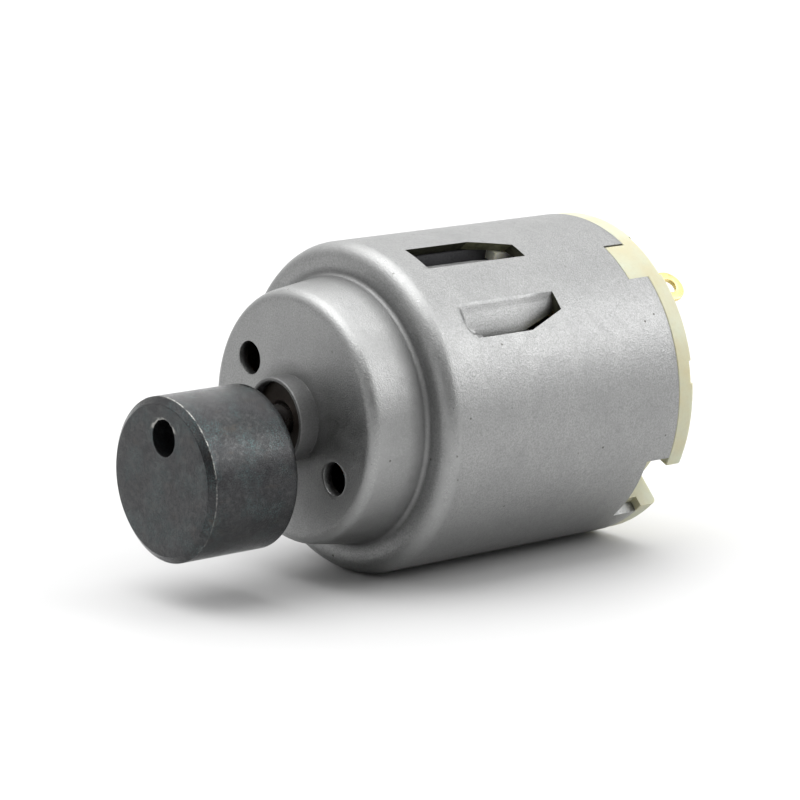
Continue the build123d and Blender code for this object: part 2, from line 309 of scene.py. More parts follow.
class Shader:
    """A procedural material whose patterns are laid out in object space, in millimetres."""

    def __init__(self, name, metallic=0.0):
        self.material = bpy.data.materials.new(name)
        self.material.use_nodes = True
        self.tree = self.material.node_tree
        self.tree.nodes.clear()
        output = self.node("ShaderNodeOutputMaterial")
        self.surface = self.node("ShaderNodeBsdfPrincipled")
        self.link(self.surface.outputs["BSDF"], output.inputs["Surface"])
        self.place = self.node("ShaderNodeTexCoord").outputs["Object"]
        self.set("Metallic", metallic)

    def node(self, kind, **settings):
        made = self.tree.nodes.new(kind)
        for key, value in settings.items():
            setattr(made, key, value)
        return made

    def link(self, source, target):
        self.tree.links.new(source, target)

    def set(self, socket, value):
        self.surface.inputs[socket].default_value = value

    def drive(self, socket, source):
        self.link(source, self.surface.inputs[socket])

    def attribute(self, name):
        """Number that the mesh carries."""
        return self.node("ShaderNodeAttribute", attribute_name=name).outputs["Fac"]

    def along(self, axis):
        """One coordinate of object space, in metres."""
        split = self.node("ShaderNodeSeparateXYZ")
        self.link(self.place, split.inputs[0])
        return split.outputs[axis]

    def stretched(self, scale):
        """Object space in millimetres, scaled unevenly for streaks."""
        mapping = self.node("ShaderNodeMapping")
        mapping.inputs["Scale"].default_value = [value / MM for value in scale]
        self.link(self.place, mapping.inputs["Vector"])
        return mapping.outputs["Vector"]

    def round_shaft(self, around, along):
        """Angle round the shaft line and place along it, both scaled, for streaks that run round it."""
        angle = self.math("ARCTAN2", self.along("Z"), self.along("X"))
        joined = self.node("ShaderNodeCombineXYZ")
        self.link(self.math("MULTIPLY", angle, around), joined.inputs["X"])
        self.link(self.math("MULTIPLY", self.along("Y"), along / MM), joined.inputs["Y"])
        return joined.outputs[0]

    def noise(self, size, detail=3.0, roughness=0.55, distortion=0.0, vector=None):
        """Noise whose lumps are about size millimetres across, or size units of a vector of its own."""
        made = self.node("ShaderNodeTexNoise")
        made.inputs["Scale"].default_value = 1.0 / (size * MM) if vector is None else 1.0 / size
        made.inputs["Detail"].default_value = detail
        made.inputs["Roughness"].default_value = roughness
        made.inputs["Distortion"].default_value = distortion
        self.link(self.place if vector is None else vector, made.inputs["Vector"])
        return made.outputs["Fac"]

    def cells(self, size):
        """Distance to scattered points about size millimetres apart."""
        made = self.node("ShaderNodeTexVoronoi")
        made.inputs["Scale"].default_value = 1.0 / (size * MM)
        self.link(self.place, made.inputs["Vector"])
        return made.outputs["Distance"]

    def math(self, operation, first, second=0.0):
        made = self.node("ShaderNodeMath", operation=operation)
        for socket, value in zip(made.inputs, (first, second)):
            if isinstance(value, (int, float)):
                socket.default_value = value
            else:
                self.link(value, socket)
        return made.outputs[0]

    def span(self, source, low, high, to_low=0.0, to_high=1.0):
        """Source mapped from low..high to to_low..to_high, and clamped."""
        made = self.node("ShaderNodeMapRange")
        made.inputs["From Min"].default_value = low
        made.inputs["From Max"].default_value = high
        made.inputs["To Min"].default_value = to_low
        made.inputs["To Max"].default_value = to_high
        self.link(source, made.inputs["Value"])
        return made.outputs["Result"]

    def blend(self, factor, first, second):
        """Colour mix; each side is a colour or another node's output."""
        made = self.node("ShaderNodeMix", data_type="RGBA")
        self.link(factor, made.inputs["Factor"])
        for name, value in (("A", first), ("B", second)):
            socket = [s for s in made.inputs if s.name == name and s.type == "RGBA"][0]
            if isinstance(value, tuple):
                socket.default_value = (*value, 1.0)
            else:
                self.link(value, socket)
        return [s for s in made.outputs if s.type == "RGBA"][0]

    def uneven_gloss(self, size, low, high, detail=3.0, roughness=0.55):
        """Roughness that drifts between low and high."""
        return self.span(self.noise(size, detail, roughness), 0.3, 0.7, low, high)

    def bump(self, *layers):
        """Chained bumps: (height, depth in millimetres, strength)."""
        normal = None
        for height, depth, strength in layers:
            made = self.node("ShaderNodeBump")
            made.inputs["Strength"].default_value = strength
            made.inputs["Distance"].default_value = depth * MM
            self.link(height, made.inputs["Height"])
            if normal is not None:
                self.link(normal, made.inputs["Normal"])
            normal = made.outputs["Normal"]
        self.drive("Normal", normal)


def can_steel():
    """Satin plated sheet steel: matte grain, soft clouds, faint scratches and dark specks.

    Painted shade: near-black cut faces in the windows, and a darker collar and corner at the step's base.
    Painted highlight: bright speckles on the folds.
    """
    s = Shader("can_steel")
    satin_dark, satin_pale = (0.305, 0.308, 0.306), (0.345, 0.347, 0.344)
    pitted, stained, speck = (0.22, 0.222, 0.221), (0.20, 0.202, 0.20), (0.05, 0.045, 0.04)
    painted_sheen, shaded = (0.43, 0.434, 0.43), (0.10, 0.10, 0.10)
    grain = s.noise(0.13, 3, 0.75)
    tone = s.blend(s.span(s.noise(3.5, 4, 0.6), 0.35, 0.68), satin_dark, satin_pale)
    tone = s.blend(s.span(grain, 0.40, 0.64, 0.0, 0.8), tone, pitted)
    tone = s.blend(s.span(s.noise(0.45, 4, 0.75), 0.52, 0.68, 0.0, 0.35), tone, stained)
    patches = s.span(s.noise(5.0, 2), 0.40, 0.52)
    specks = s.math("MULTIPLY", s.span(s.cells(1.9), 0.035, 0.062, 0.8, 0.0), patches)
    tone = s.blend(specks, tone, speck)
    # Painted highlight: bright speckles on the forward-facing folds, which also get more gloss below
    fold_gloss_and_painted_sheen = s.attribute("fold_gloss_and_painted_sheen")
    tone = s.blend(s.math("MULTIPLY", fold_gloss_and_painted_sheen, s.span(grain, 0.44, 0.64, 0.0, 0.7)), tone, painted_sheen)
    # Painted shade: the collar and the corner at the step's base are darkened towards shaded, and made
    # rougher below
    dull_and_painted_shade = s.attribute("dull_and_painted_shade")
    tone = s.blend(s.math("MULTIPLY", dull_and_painted_shade, 0.45), tone, shaded)
    rough_cut = s.span(s.noise(0.3, 4, 0.7), 0.35, 0.65)
    # Painted shade: the cut faces in the windows are painted near black with an olive tint; the slanted cut
    # faces get a darker olive tone
    cut, slant = s.attribute("cut"), s.attribute("slant")
    tone = s.blend(cut, tone, s.blend(rough_cut, (0.012, 0.012, 0.007), (0.045, 0.046, 0.026)))
    tone = s.blend(slant, tone, s.blend(rough_cut, (0.08, 0.08, 0.045), (0.17, 0.17, 0.10)))
    s.drive("Base Color", tone)
    s.drive("Metallic", s.span(s.math("ADD", cut, slant), 0.0, 1.0, 1.0, 0.2))
    gloss = s.uneven_gloss(1.1, 0.33, 0.45, 4, 0.65)
    gloss = s.math("SUBTRACT", gloss, s.math("MULTIPLY", fold_gloss_and_painted_sheen, 0.07))
    s.drive("Roughness", s.math("ADD", gloss, s.math("MULTIPLY", dull_and_painted_shade, 0.16)))
    scratched = s.noise(0.5, 3, 0.6, vector=s.round_shaft(5.0, 6.0))
    dents, ripples = s.noise(2.4, 2), s.noise(0.5, 2)
    s.bump((dents, 0.05, 0.25), (scratched, 0.01, 0.25), (ripples, 0.02, 0.25), (grain, 0.04, 0.85))
    return s.material


def weight_metal():
    """Steam-blackened sintered metal: mottled, with pale rims, wear with a painted highlight on their upper
    side, and fine bright grains.
    """
    s = Shader("weight_metal", metallic=0.85)
    black, grey = (0.040, 0.0405, 0.042), (0.064, 0.0645, 0.066)
    pore, pale, rust = (0.020, 0.021, 0.023), (0.088, 0.090, 0.089), (0.080, 0.068, 0.056)
    teal, bright, pale_wear_and_highlight = (0.075, 0.125, 0.125), (0.20, 0.22, 0.21), (0.34, 0.34, 0.32)
    clouds = s.noise(2.2, 5, 0.65, 0.4)
    grain = s.noise(0.11, 3, 0.75)
    tone = s.blend(s.span(clouds, 0.32, 0.7), black, grey)
    tone = s.blend(s.span(grain, 0.38, 0.66, 0.0, 0.85), tone, pore)
    tone = s.blend(s.span(s.noise(0.5, 4, 0.75), 0.5, 0.66, 0.0, 0.5), tone, pale)
    rusty = s.noise(1.3, 4, 0.6, vector=s.stretched((1.4, 0.7, 1.4)))
    tone = s.blend(s.span(rusty, 0.58, 0.72, 0.0, 0.35), tone, rust)
    tealish = s.math("MULTIPLY", s.span(s.noise(1.9, 3), 0.46, 0.6), s.span(s.noise(0.09, 2), 0.52, 0.62))
    tone = s.blend(s.math("MULTIPLY", tealish, 0.55), tone, teal)
    glints = s.span(s.cells(0.42), 0.05, 0.11, 0.8, 0.0)
    tone = s.blend(s.math("MULTIPLY", glints, s.span(s.noise(1.6, 3), 0.5, 0.65)), tone, bright)
    # Pale rims: wear, painted brightest on the upper right of the front rim and on the mouth's upper edge as
    # painted highlight
    wear_and_painted_highlight = s.math("MULTIPLY", s.attribute("wear_and_painted_highlight"), s.span(s.noise(0.6, 4, 0.75), 0.42, 0.60))
    s.drive("Base Color", s.blend(wear_and_painted_highlight, tone, pale_wear_and_highlight))
    s.drive("Roughness", s.uneven_gloss(0.9, 0.14, 0.27, 4, 0.7))
    s.bump((clouds, 0.04, 0.25), (grain, 0.035, 0.75))
    return s.material


def nylon():
    """Natural ivory nylon: slightly waxy, with flow marks and warm patches, and painted light on the parts
    seen through the windows.
    """
    s = Shader("nylon")
    s.set("Subsurface Weight", 0.25)
    s.set("Subsurface Radius", (1.0, 0.85, 0.45))
    s.set("Subsurface Scale", 0.6 * MM)
    ivory, warm = (0.49, 0.505, 0.38), (0.49, 0.45, 0.29)
    smudge, painted_light_ivory = (0.42, 0.39, 0.27), (0.90, 0.88, 0.74)
    tone = s.blend(s.span(s.noise(2.8, 3, 0.55), 0.35, 0.7), ivory, warm)
    tone = s.blend(s.span(s.noise(0.25, 2), 0.45, 0.8, 0.0, 0.3), tone, smudge)
    # Painted light: the cap's fingers in front of y 17.2 mm lie in the can's shade and are painted brighter
    inside = s.span(s.along("Y"), 17.2 * MM, 18.2 * MM, 1.0, 0.0)
    s.drive("Base Color", s.blend(inside, tone, painted_light_ivory))
    s.drive("Roughness", s.uneven_gloss(0.8, 0.34, 0.55))
    s.bump((s.noise(1.4, 2), 0.04, 0.3), (s.noise(0.2, 2), 0.008, 0.4))
    return s.material


def plain_metal(name, low, high, roughness, grain_size, grain_depth, metallic=1.0):
    """Metal with blotches between two tones, uneven gloss and a fine grain."""
    s = Shader(name, metallic)
    blotch = 1.6
    tone = s.blend(s.span(s.noise(blotch, 4, 0.6), 0.32, 0.7), low, high)
    grain = s.noise(grain_size, 3, 0.65)
    dark = tuple(0.7 * c for c in low)
    s.drive("Base Color", s.blend(s.span(grain, 0.45, 0.8, 0.0, 0.5), tone, dark))
    s.drive("Roughness", s.uneven_gloss(blotch / 2, roughness - 0.08, roughness + 0.1))
    s.bump((s.noise(blotch, 2), grain_depth * 3, 0.3), (grain, grain_depth, 0.5))
    return s.material


def turned_metal(name, low, high, roughness, pitch):
    """Metal ground or turned round the shaft line, with fine rings."""
    s = Shader(name, metallic=1.0)
    rings = s.noise(0.5, 3, 0.7, vector=s.round_shaft(0.6, 1.0 / pitch))
    s.drive("Base Color", s.blend(s.span(rings, 0.35, 0.7), low, high))
    s.drive("Roughness", s.uneven_gloss(1.2, roughness - 0.06, roughness + 0.1))
    s.bump((rings, 0.008, 0.5), (s.noise(0.3, 2), 0.004, 0.3))
    return s.material


def speckled(name, low, high, roughness, size, depth):
    """Pressed or moulded stuff: fine grains of two tones."""
    s = Shader(name)
    grain = s.noise(size, 4, 0.7)
    tone = s.blend(s.span(grain, 0.35, 0.68), low, high)
    s.drive("Base Color", s.blend(s.span(s.noise(size * 9, 3), 0.4, 0.7, 0.0, 0.4), tone, high))
    s.drive("Roughness", s.uneven_gloss(size * 5, roughness - 0.08, roughness + 0.1))
    s.bump((s.noise(size * 6, 2), depth * 2, 0.3), (grain, depth, 0.6))
    return s.material


def laminated(name, low, high, pitch):
    """Stack of punched sheets: lines across the shaft every pitch millimetres."""
    s = Shader(name, metallic=0.9)
    phase = s.math("FRACT", s.math("MULTIPLY", s.along("Y"), 1.0 / (pitch * MM)))
    line = s.span(s.math("ABSOLUTE", s.math("SUBTRACT", phase, 0.5)), 0.36, 0.5)
    tone = s.blend(s.span(s.noise(1.3, 4), 0.35, 0.7), low, high)
    s.drive("Base Color", s.blend(line, tone, tuple(0.35 * c for c in low)))
    s.drive("Roughness", s.uneven_gloss(0.7, 0.36, 0.58))
    s.bump((s.math("MULTIPLY", line, -1.0), 0.05, 0.6), (s.noise(0.15, 3), 0.01, 0.4))
    return s.material


# (slot, dark tone, pale tone, roughness, grain size, grain depth, and metallic where it isn't 1)
PLAIN_METALS = (
    # bronze: its near-black tones are painted shade on the front bush, which sits in the weight's shadow
    ("bronze", (0.022, 0.016, 0.012), (0.05, 0.038, 0.030), 0.5, 0.12, 0.02, 0.8),
    ("brass", (0.80, 0.62, 0.24), (0.88, 0.74, 0.36), 0.28, 0.2, 0.006),
    ("spring_steel", (0.34, 0.34, 0.36), (0.46, 0.46, 0.47), 0.33, 0.15, 0.006),
    ("copper_wire", (0.50, 0.15, 0.05), (0.68, 0.27, 0.10), 0.28, 0.2, 0.006),
    ("phosphor_bronze", (0.55, 0.33, 0.14), (0.66, 0.44, 0.22), 0.3, 0.18, 0.006),
)

# (slot, dark tone, pale tone, roughness, pitch)
TURNED_METALS = (
    ("ground_steel", (0.34, 0.34, 0.35), (0.46, 0.46, 0.46), 0.24, 0.05),
    ("copper", (0.62, 0.28, 0.16), (0.78, 0.42, 0.27), 0.26, 0.08),
)

# (slot, dark tone, pale tone, roughness, grain size, grain depth)
SPECKLED = (
    ("ferrite", (0.035, 0.035, 0.038), (0.075, 0.075, 0.08), 0.6, 0.14, 0.02),
    ("insulation", (0.05, 0.19, 0.08), (0.09, 0.28, 0.13), 0.55, 0.2, 0.01),
    ("moulding", (0.05, 0.03, 0.02), (0.10, 0.06, 0.04), 0.5, 0.16, 0.01),
    ("spacer_plastic", (0.66, 0.66, 0.63), (0.76, 0.76, 0.73), 0.42, 0.22, 0.006),
    ("carbon", (0.03, 0.03, 0.032), (0.07, 0.07, 0.074), 0.5, 0.1, 0.02),
)

MATERIALS = {
    "can_steel": can_steel(),
    "weight_metal": weight_metal(),
    "nylon": nylon(),
    "silicon_steel": laminated("silicon_steel", (0.22, 0.22, 0.23), (0.33, 0.33, 0.34), 0.5),
}
for maker, stuffs in ((plain_metal, PLAIN_METALS), (turned_metal, TURNED_METALS), (speckled, SPECKLED)):
    MATERIALS |= {row[0]: maker(*row) for row in stuffs}


def paint(obj, slot):
    """Puts a slot's material on every face of an object."""
    obj.data.materials.clear()
    obj.data.materials.append(MATERIALS[slot])


# ---------------------------------------------------------------- can

def notches():
    """(start angle, stop angle, front end) of each notch in the rear rim."""
    found = []
    for turn, (half, front) in ((0, KEY_NOTCH), (180, KEY_NOTCH), (90, VENT_NOTCH), (-90, VENT_NOTCH)):
        middle = STATOR + turn
        found.append((middle - half, middle + half, front))
    return found


def can_columns():
    """Column angles once round, with one at every edge of a window, notch or hole patch."""
    breaks = set()
    for side in (1, -1):
        breaks |= {STATOR + side * TAB_HINGE, STATOR + side * TAB_FREE}
        breaks |= {STATOR + 90 * side - PATCH_HALF, STATOR + 90 * side + PATCH_HALF}
    for start, stop, _ in notches():
        breaks |= {start, stop}
    breaks = sorted(round(angle % 360, 4) for angle in breaks)
    return through([*breaks, breaks[0] + 360], COLUMN_STEP)[:-1]


def column_shift(angle, y):
    """How far a column leans round the can to follow the slanted corner of a window."""
    offset = turn_from(STATOR, angle)
    side = 1 if offset > 0 else -1
    across = abs(offset)
    if across <= TAB_HINGE or across >= TAB_FREE + LEAN_SPREAD:
        return 0.0
    if across <= TAB_FREE:
        share = (across - TAB_HINGE) / (TAB_FREE - TAB_HINGE)
    else:
        share = 1 - smooth((across - TAB_FREE) / LEAN_SPREAD)
    lean = min(1.0, max(0.0, (y - TAB_CORNER) / (TAB_REAR - TAB_CORNER)))
    if y > TAB_REAR:
        lean = 1 - smooth((y - TAB_REAR) / LEAN_FADE)
    return -side * TAB_CORNER_SHIFT * share * lean


def undercut(angle, y):
    """How far the inner skin's columns stand back from a window's free edge, so that the cut leans away."""
    offset = turn_from(STATOR, angle)
    side = 1 if offset > 0 else -1
    across = abs(offset)
    if across <= TAB_HINGE:
        return 0.0
    share = min(1.0, (across - TAB_HINGE) / (TAB_FREE - TAB_HINGE)) ** 4
    share *= 1 - smooth((across - TAB_FREE) / UNDERCUT_SPREAD)
    ends = smooth((y - UNDERCUT_START) / UNDERCUT_RISE) * smooth((UNDERCUT_END - y) / UNDERCUT_FALL)
    return side * UNDERCUT * share * ends


def can_rows():
    """Closed outline of the can's wall as (radius, y), its row numbers by place, and the barrel's rows."""
    # A corner without rounding only adds a row. Cut-off ends aim an arc or repeat the next stretch's row
    patch = even(PATCH_INNER, PATCH_OUTER, (PATCH_OUTER - PATCH_INNER) / PATCH_ROWS)
    front = rounded([
        (COLLAR_BORE, COLLAR_BORE_END, 0),
        (COLLAR_BORE, -0.6, 0),
        (COLLAR_BORE, COLLAR_TIP, 0.09),
        (COLLAR_RADIUS, COLLAR_TIP, 0.10),
        (COLLAR_RADIUS, -0.9, 0),
        (COLLAR_RADIUS, 0, 0),
        *[(radius, 0, 0) for radius in patch],
        (STEP_FRONT_RADIUS, 0, STEP_FRONT_ROUND),
        (9.25, 1.5, 0),
        (9.45, 3.0, 0),
        (STEP_BASE_RADIUS, STEP_DEPTH, STEP_BASE_ROUND),
        (10.4, STEP_DEPTH, 0),
        (CAN_RADIUS, STEP_DEPTH, SHOULDER_ROUND),
        (CAN_RADIUS, TAB_FRONT, 0),
    ])[:-1]
    barrel = even(SHOULDER_END, TAB_FRONT, ROW_STEP)
    barrel += even(TAB_FRONT, FOLD_ROWS_END, FOLD_ROW_STEP)[1:]
    barrel += through([
        FOLD_ROWS_END, TAB_CORNER, TAB_REAR, LEAN_ROWS_END, VENT_NOTCH[1], KEY_NOTCH[1], CAN_REAR - RIM_ROUND,
    ], ROW_STEP)[1:]
    outside = [Vector((CAN_RADIUS, y)) for y in barrel[1:]]
    rim = rounded([
        (CAN_RADIUS, RIM_START, 0),
        (CAN_RADIUS, CAN_REAR, RIM_ROUND),
        (INNER_RADIUS, CAN_REAR, RIM_ROUND),
        (INNER_RADIUS, RIM_START, 0),
    ], arc_steps=3)[2:-2]
    inside = [Vector((INNER_RADIUS, y)) for y in reversed(barrel)]
    back = rounded([
        (INNER_RADIUS, SHOULDER_END, 0),
        (INNER_RADIUS, STEP_DEPTH + WALL, SHOULDER_ROUND - WALL),
        (STEP_BASE_RADIUS - WALL, STEP_DEPTH + WALL, STEP_BASE_ROUND + WALL),
        (STEP_FRONT_RADIUS - WALL, WALL, 0.2),
        *[(radius, WALL, 0) for radius in reversed(patch)],
        (COLLAR_BORE, WALL, 0.3),
        (COLLAR_BORE, COLLAR_BORE_END, 0),
    ])[1:-1]
    rows = [*front, *outside, *rim, *inside, *back]
    first_outside = len(front) - 1
    last_inside = len(front) + len(outside) + len(rim) + len(barrel) - 1
    marks = {
        "out": {round(y, 4): first_outside + k for k, y in enumerate(barrel)},
        "in": {round(y, 4): last_inside - k for k, y in enumerate(barrel)},
    }
    for name, y in (("face", 0), ("back", WALL)):
        flat = [k for k, row in enumerate(rows) if abs(row.y - y) < TINY]
        marks[name] = [k for k in flat if any(abs(rows[k].x - radius) < TINY for radius in patch)]
    return rows, marks, barrel


def tab_sink(side, along, share):
    """Depth of a tab's outer skin as a share of its full depth: folds at its hinge and front."""
    across = (1 - share) * TAB_WIDTH
    corner = TAB_CORNER_ROUND[side]
    if along < corner:
        reach = corner - Vector((corner - along, max(0, corner - across))).length
    else:
        reach = min(across, corner) + 2 * (along - corner)
    front = smooth(reach / TAB_FOLD)
    return front * (TAB_STEP * smooth(share * TAB_WIDTH / TAB_FOLD) + (1 - TAB_STEP) * share)


def tab_point(side, y, share, inward):
    """Point of a tab: share runs from its hinge to its free edge, inward is depth below its outer skin."""
    angle = STATOR + side * (TAB_HINGE + share * (TAB_FREE - TAB_HINGE))
    angle += column_shift(angle, y)
    sink = tab_sink(side, y - TAB_FRONT, share)
    narrowed = side * TAB_NARROWING * sink ** 2 * share
    return polar(CAN_RADIUS - TAB_DEPTH[side] * sink - inward, angle - narrowed, y)


class CanWall:
    """The can's wall: rows along its outline, columns round the shaft, and what is cut out or bent."""

    def __init__(self):
        self.builder = bmesh.new()
        self.cut = self.builder.faces.layers.float.new("cut")
        self.slant = self.builder.faces.layers.float.new("slant")
        self.rows, self.marks, self.barrel = can_rows()
        self.columns = can_columns()
        self.grid = [self.ring(row) for row in self.rows]
        self.left_out = set()

    def ring(self, row):
        """Points once round the can at one place of its outline."""
        angles = self.columns
        if row.y > STEP_DEPTH + WALL and row.x > INNER_RADIUS - ON_SKIN:
            angles = [angle + column_shift(angle, row.y) for angle in angles]
            if row.x < INNER_RADIUS + ON_SKIN:
                angles = [angle + undercut(old, row.y) for angle, old in zip(angles, self.columns)]
        return [self.builder.verts.new(polar(row.x, angle, row.y)) for angle in angles]

    def column(self, angle):
        """Number of the column nearest to an angle."""
        return min(range(len(self.columns)), key=lambda j: abs(turn_from(angle, self.columns[j])))

    def run(self, start, stop):
        """Column numbers from one angle to another, going up."""
        first = self.column(start)
        steps = (self.column(stop) - first) % len(self.columns)
        return [(first + k) % len(self.columns) for k in range(steps + 1)]

    def leave_out(self, row_from, row_to, span):
        """Leaves the faces between two rows out, along a run of columns."""
        self.left_out |= {(i, j) for i in range(row_from, row_to) for j in span[:-1]}

    def strip(self, near, far, layer=None):
        """Faces between two equal rows of points, which may share some. A layer gets 1 on each of them."""
        for k in range(len(near) - 1):
            corners = list(dict.fromkeys((near[k], near[k + 1], far[k + 1], far[k])))
            if len(corners) > 2:
                face = self.builder.faces.new(corners)
                if layer is not None:
                    face[layer] = 1.0

    def cut_notch(self, start, stop, front):
        """Notch in the rear rim: its front end and both sides."""
        span = self.run(start, stop)
        low, high = self.marks["out"][round(front, 4)], self.marks["in"][round(front, 4)]
        self.leave_out(low, high, span)
        self.strip([self.grid[low][j] for j in span], [self.grid[high][j] for j in span])
        for j in (span[0], span[-1]):
            going = [self.grid[i][j] for i in range(low, high + 1)]
            half = len(going) // 2
            self.strip(going[:half], going[::-1][:half])
            if len(going) % 2:
                self.builder.faces.new((going[half - 1], going[half], going[half + 1]))

    def bend_tab(self, side):
        """Window and its tab: two bent skins, the tab's cut edges, and the window's."""
        stations = [y for y in self.barrel if TAB_FRONT - TINY <= y <= TAB_REAR + TINY]
        outer, inner = ([self.marks[skin][round(y, 4)] for y in stations] for skin in ("out", "in"))
        span = self.run(*sorted((STATOR + side * TAB_HINGE, STATOR + side * TAB_FREE)))
        self.leave_out(outer[0], outer[-1], span)
        self.leave_out(inner[-1], inner[0], span)
        if side < 0:
            span = span[::-1]
        offsets = [abs(turn_from(STATOR, self.columns[j])) for j in span]
        shares = [(offset - TAB_HINGE) / (TAB_FREE - TAB_HINGE) for offset in offsets]
        # Last station where the free edge is still joined to the can
        joined = max(k for k, y in enumerate(stations) if tab_sink(side, y - TAB_FRONT, 1.0) < TINY)
        skins = []
        for numbers, inward in ((outer, 0.0), (inner, WALL)):
            lines = []
            for k, y in enumerate(stations):
                line = []
                for j, share in zip(span, shares):
                    if k == 0 or share < TINY or (share > 1 - TINY and k <= joined):
                        line.append(self.grid[numbers[k]][j])
                    else:
                        line.append(self.builder.verts.new(tab_point(side, y, share, inward)))
                lines.append(line)
            for near, far in zip(lines, lines[1:]):
                self.strip(near, far)
            skins.append(lines)
        self.strip(*([line[-1] for line in lines[joined:]] for lines in skins), self.cut)
        self.strip(skins[0][-1], skins[1][-1], self.cut)
        straight = sum(y < TAB_CORNER - TINY for y in stations) - joined
        sides = [[self.grid[i][span[-1]] for i in numbers[joined:]] for numbers in (outer, inner)]
        self.strip(*(line[:straight + 1] for line in sides), self.cut)
        self.strip(*(line[straight:] for line in sides), self.slant)
        self.strip(*([self.grid[numbers[-1]][j] for j in span] for numbers in (outer, inner)), self.cut)

    def pierce(self, middle):
        """Screw hole: rings from its patch in to a round mouth on either skin, and the wall between them."""
        span = self.run(middle - PATCH_HALF, middle + PATCH_HALF)
        centre = polar(HOLE_CIRCLE_RADIUS, middle, 0)
        mouths = []
        for numbers, y, lip in (
            (self.marks["face"], 0.0, HOLE_LIP),
            (self.marks["back"][::-1], WALL, -HOLE_LIP),
        ):
            self.leave_out(min(numbers), max(numbers), span)
            loop = [self.grid[numbers[0]][j] for j in span]
            loop += [self.grid[i][span[-1]] for i in numbers[1:]]
            loop += [self.grid[numbers[-1]][j] for j in span[::-1][1:]]
            loop += [self.grid[i][span[0]] for i in numbers[::-1][1:-1]]
            ring = loop
            for share, wider, drop in HOLE_RINGS:
                inner_ring = []
                for vertex in loop:
                    flat = Vector((vertex.co.x - centre.x, 0, vertex.co.z - centre.z))
                    reach = flat.length
                    reach += ((HOLE_RADIUS + wider) * MM - reach) * share
                    place = centre + flat.normalized() * reach
                    inner_ring.append(self.builder.verts.new((place.x, (y + lip * drop) * MM, place.z)))
                self.strip([*ring, ring[0]], [*inner_ring, inner_ring[0]])
                ring = inner_ring
            mouths.append([*ring, ring[0]])
        self.strip(*mouths)

    def fill(self):
        """Faces of the wall wherever nothing was left out, and no points without a face."""
        for i, row in enumerate(self.grid):
            after = self.grid[(i + 1) % len(self.grid)]
            for j in range(len(row)):
                if (i, j) not in self.left_out:
                    k = (j + 1) % len(row)
                    self.builder.faces.new((row[j], row[k], after[k], after[j]))
        loose = [vertex for vertex in self.builder.verts if not vertex.link_faces]
        bmesh.ops.delete(self.builder, geom=loose, context="VERTS")


def mark_can(mesh):
    """Marks painted shade, with more roughness, on the collar and the corner at the step's base, and painted
    highlight speckles, with more gloss, on the forward-facing folds.
    """
    dull_and_painted_shade, fold_gloss_and_painted_sheen = [], []
    for vertex in mesh.vertices:
        reach = Vector((vertex.co.x, vertex.co.z)).length / MM
        y = vertex.co.y / MM
        collar = 1 - smooth((reach - COLLAR_RADIUS - SHADE_MARGIN) / SHADE_MARGIN_FADE)
        from_spot = Vector((reach - SHADE_SPOT[0], y - SHADE_SPOT[1])).length
        dull_and_painted_shade.append(max(collar, 1 - smooth((from_spot - SHADE_SPOT_RADIUS) / SHADE_SPOT_FADE)))
        forwards = -vertex.normal.y
        folds = reach > FOLDS_START and y < SHOULDER_END and forwards > 0
        fold_gloss_and_painted_sheen.append(smooth(3 * forwards) * smooth(3 * (1 - forwards)) if folds else 0.0)
    add_values(mesh, "dull_and_painted_shade", dull_and_painted_shade)
    add_values(mesh, "fold_gloss_and_painted_sheen", fold_gloss_and_painted_sheen)


def build_can():
    """The can, made by deep drawing, with its bent tabs, screw holes and rim notches, as one closed wall."""
    wall = CanWall()
    for notch in notches():
        wall.cut_notch(*notch)
    for side in (1, -1):
        wall.bend_tab(side)
    for side in (1, -1):
        wall.pierce(STATOR + 90 * side)
    wall.fill()
    can = finish_mesh(wall.builder, "can_shell", CAN_SHARP)
    mark_can(can.data)
    round_edges(can, CAN_EDGE, segments=2, sharp=CAN_EDGE_TURN).harden_normals = True
    stand_in(can, "housing", "can_steel", "motor_can")
    paint(can, "can_steel")


# ---------------------------------------------------------------- weight

def circle(centre, radius, y):
    """Points once round a circle across the shaft, in metres."""
    points = []
    for k in range(WEIGHT_COLUMNS):
        turn = 2 * pi * k / WEIGHT_COLUMNS
        points.append(Vector((centre.x + radius * cos(turn), y, centre.y + radius * sin(turn))) * MM)
    return points


def closed_skin(rows):
    """bmesh skin over rows of points that each go once round, with the last row joined to the first."""
    builder = bmesh.new()
    grid = [[builder.verts.new(point) for point in row] for row in rows]
    for near, far in zip(grid, [*grid[1:], grid[0]]):
        for j in range(len(near)):
            k = (j + 1) % len(near)
            builder.faces.new((near[j], near[k], far[k], far[j]))
    return builder


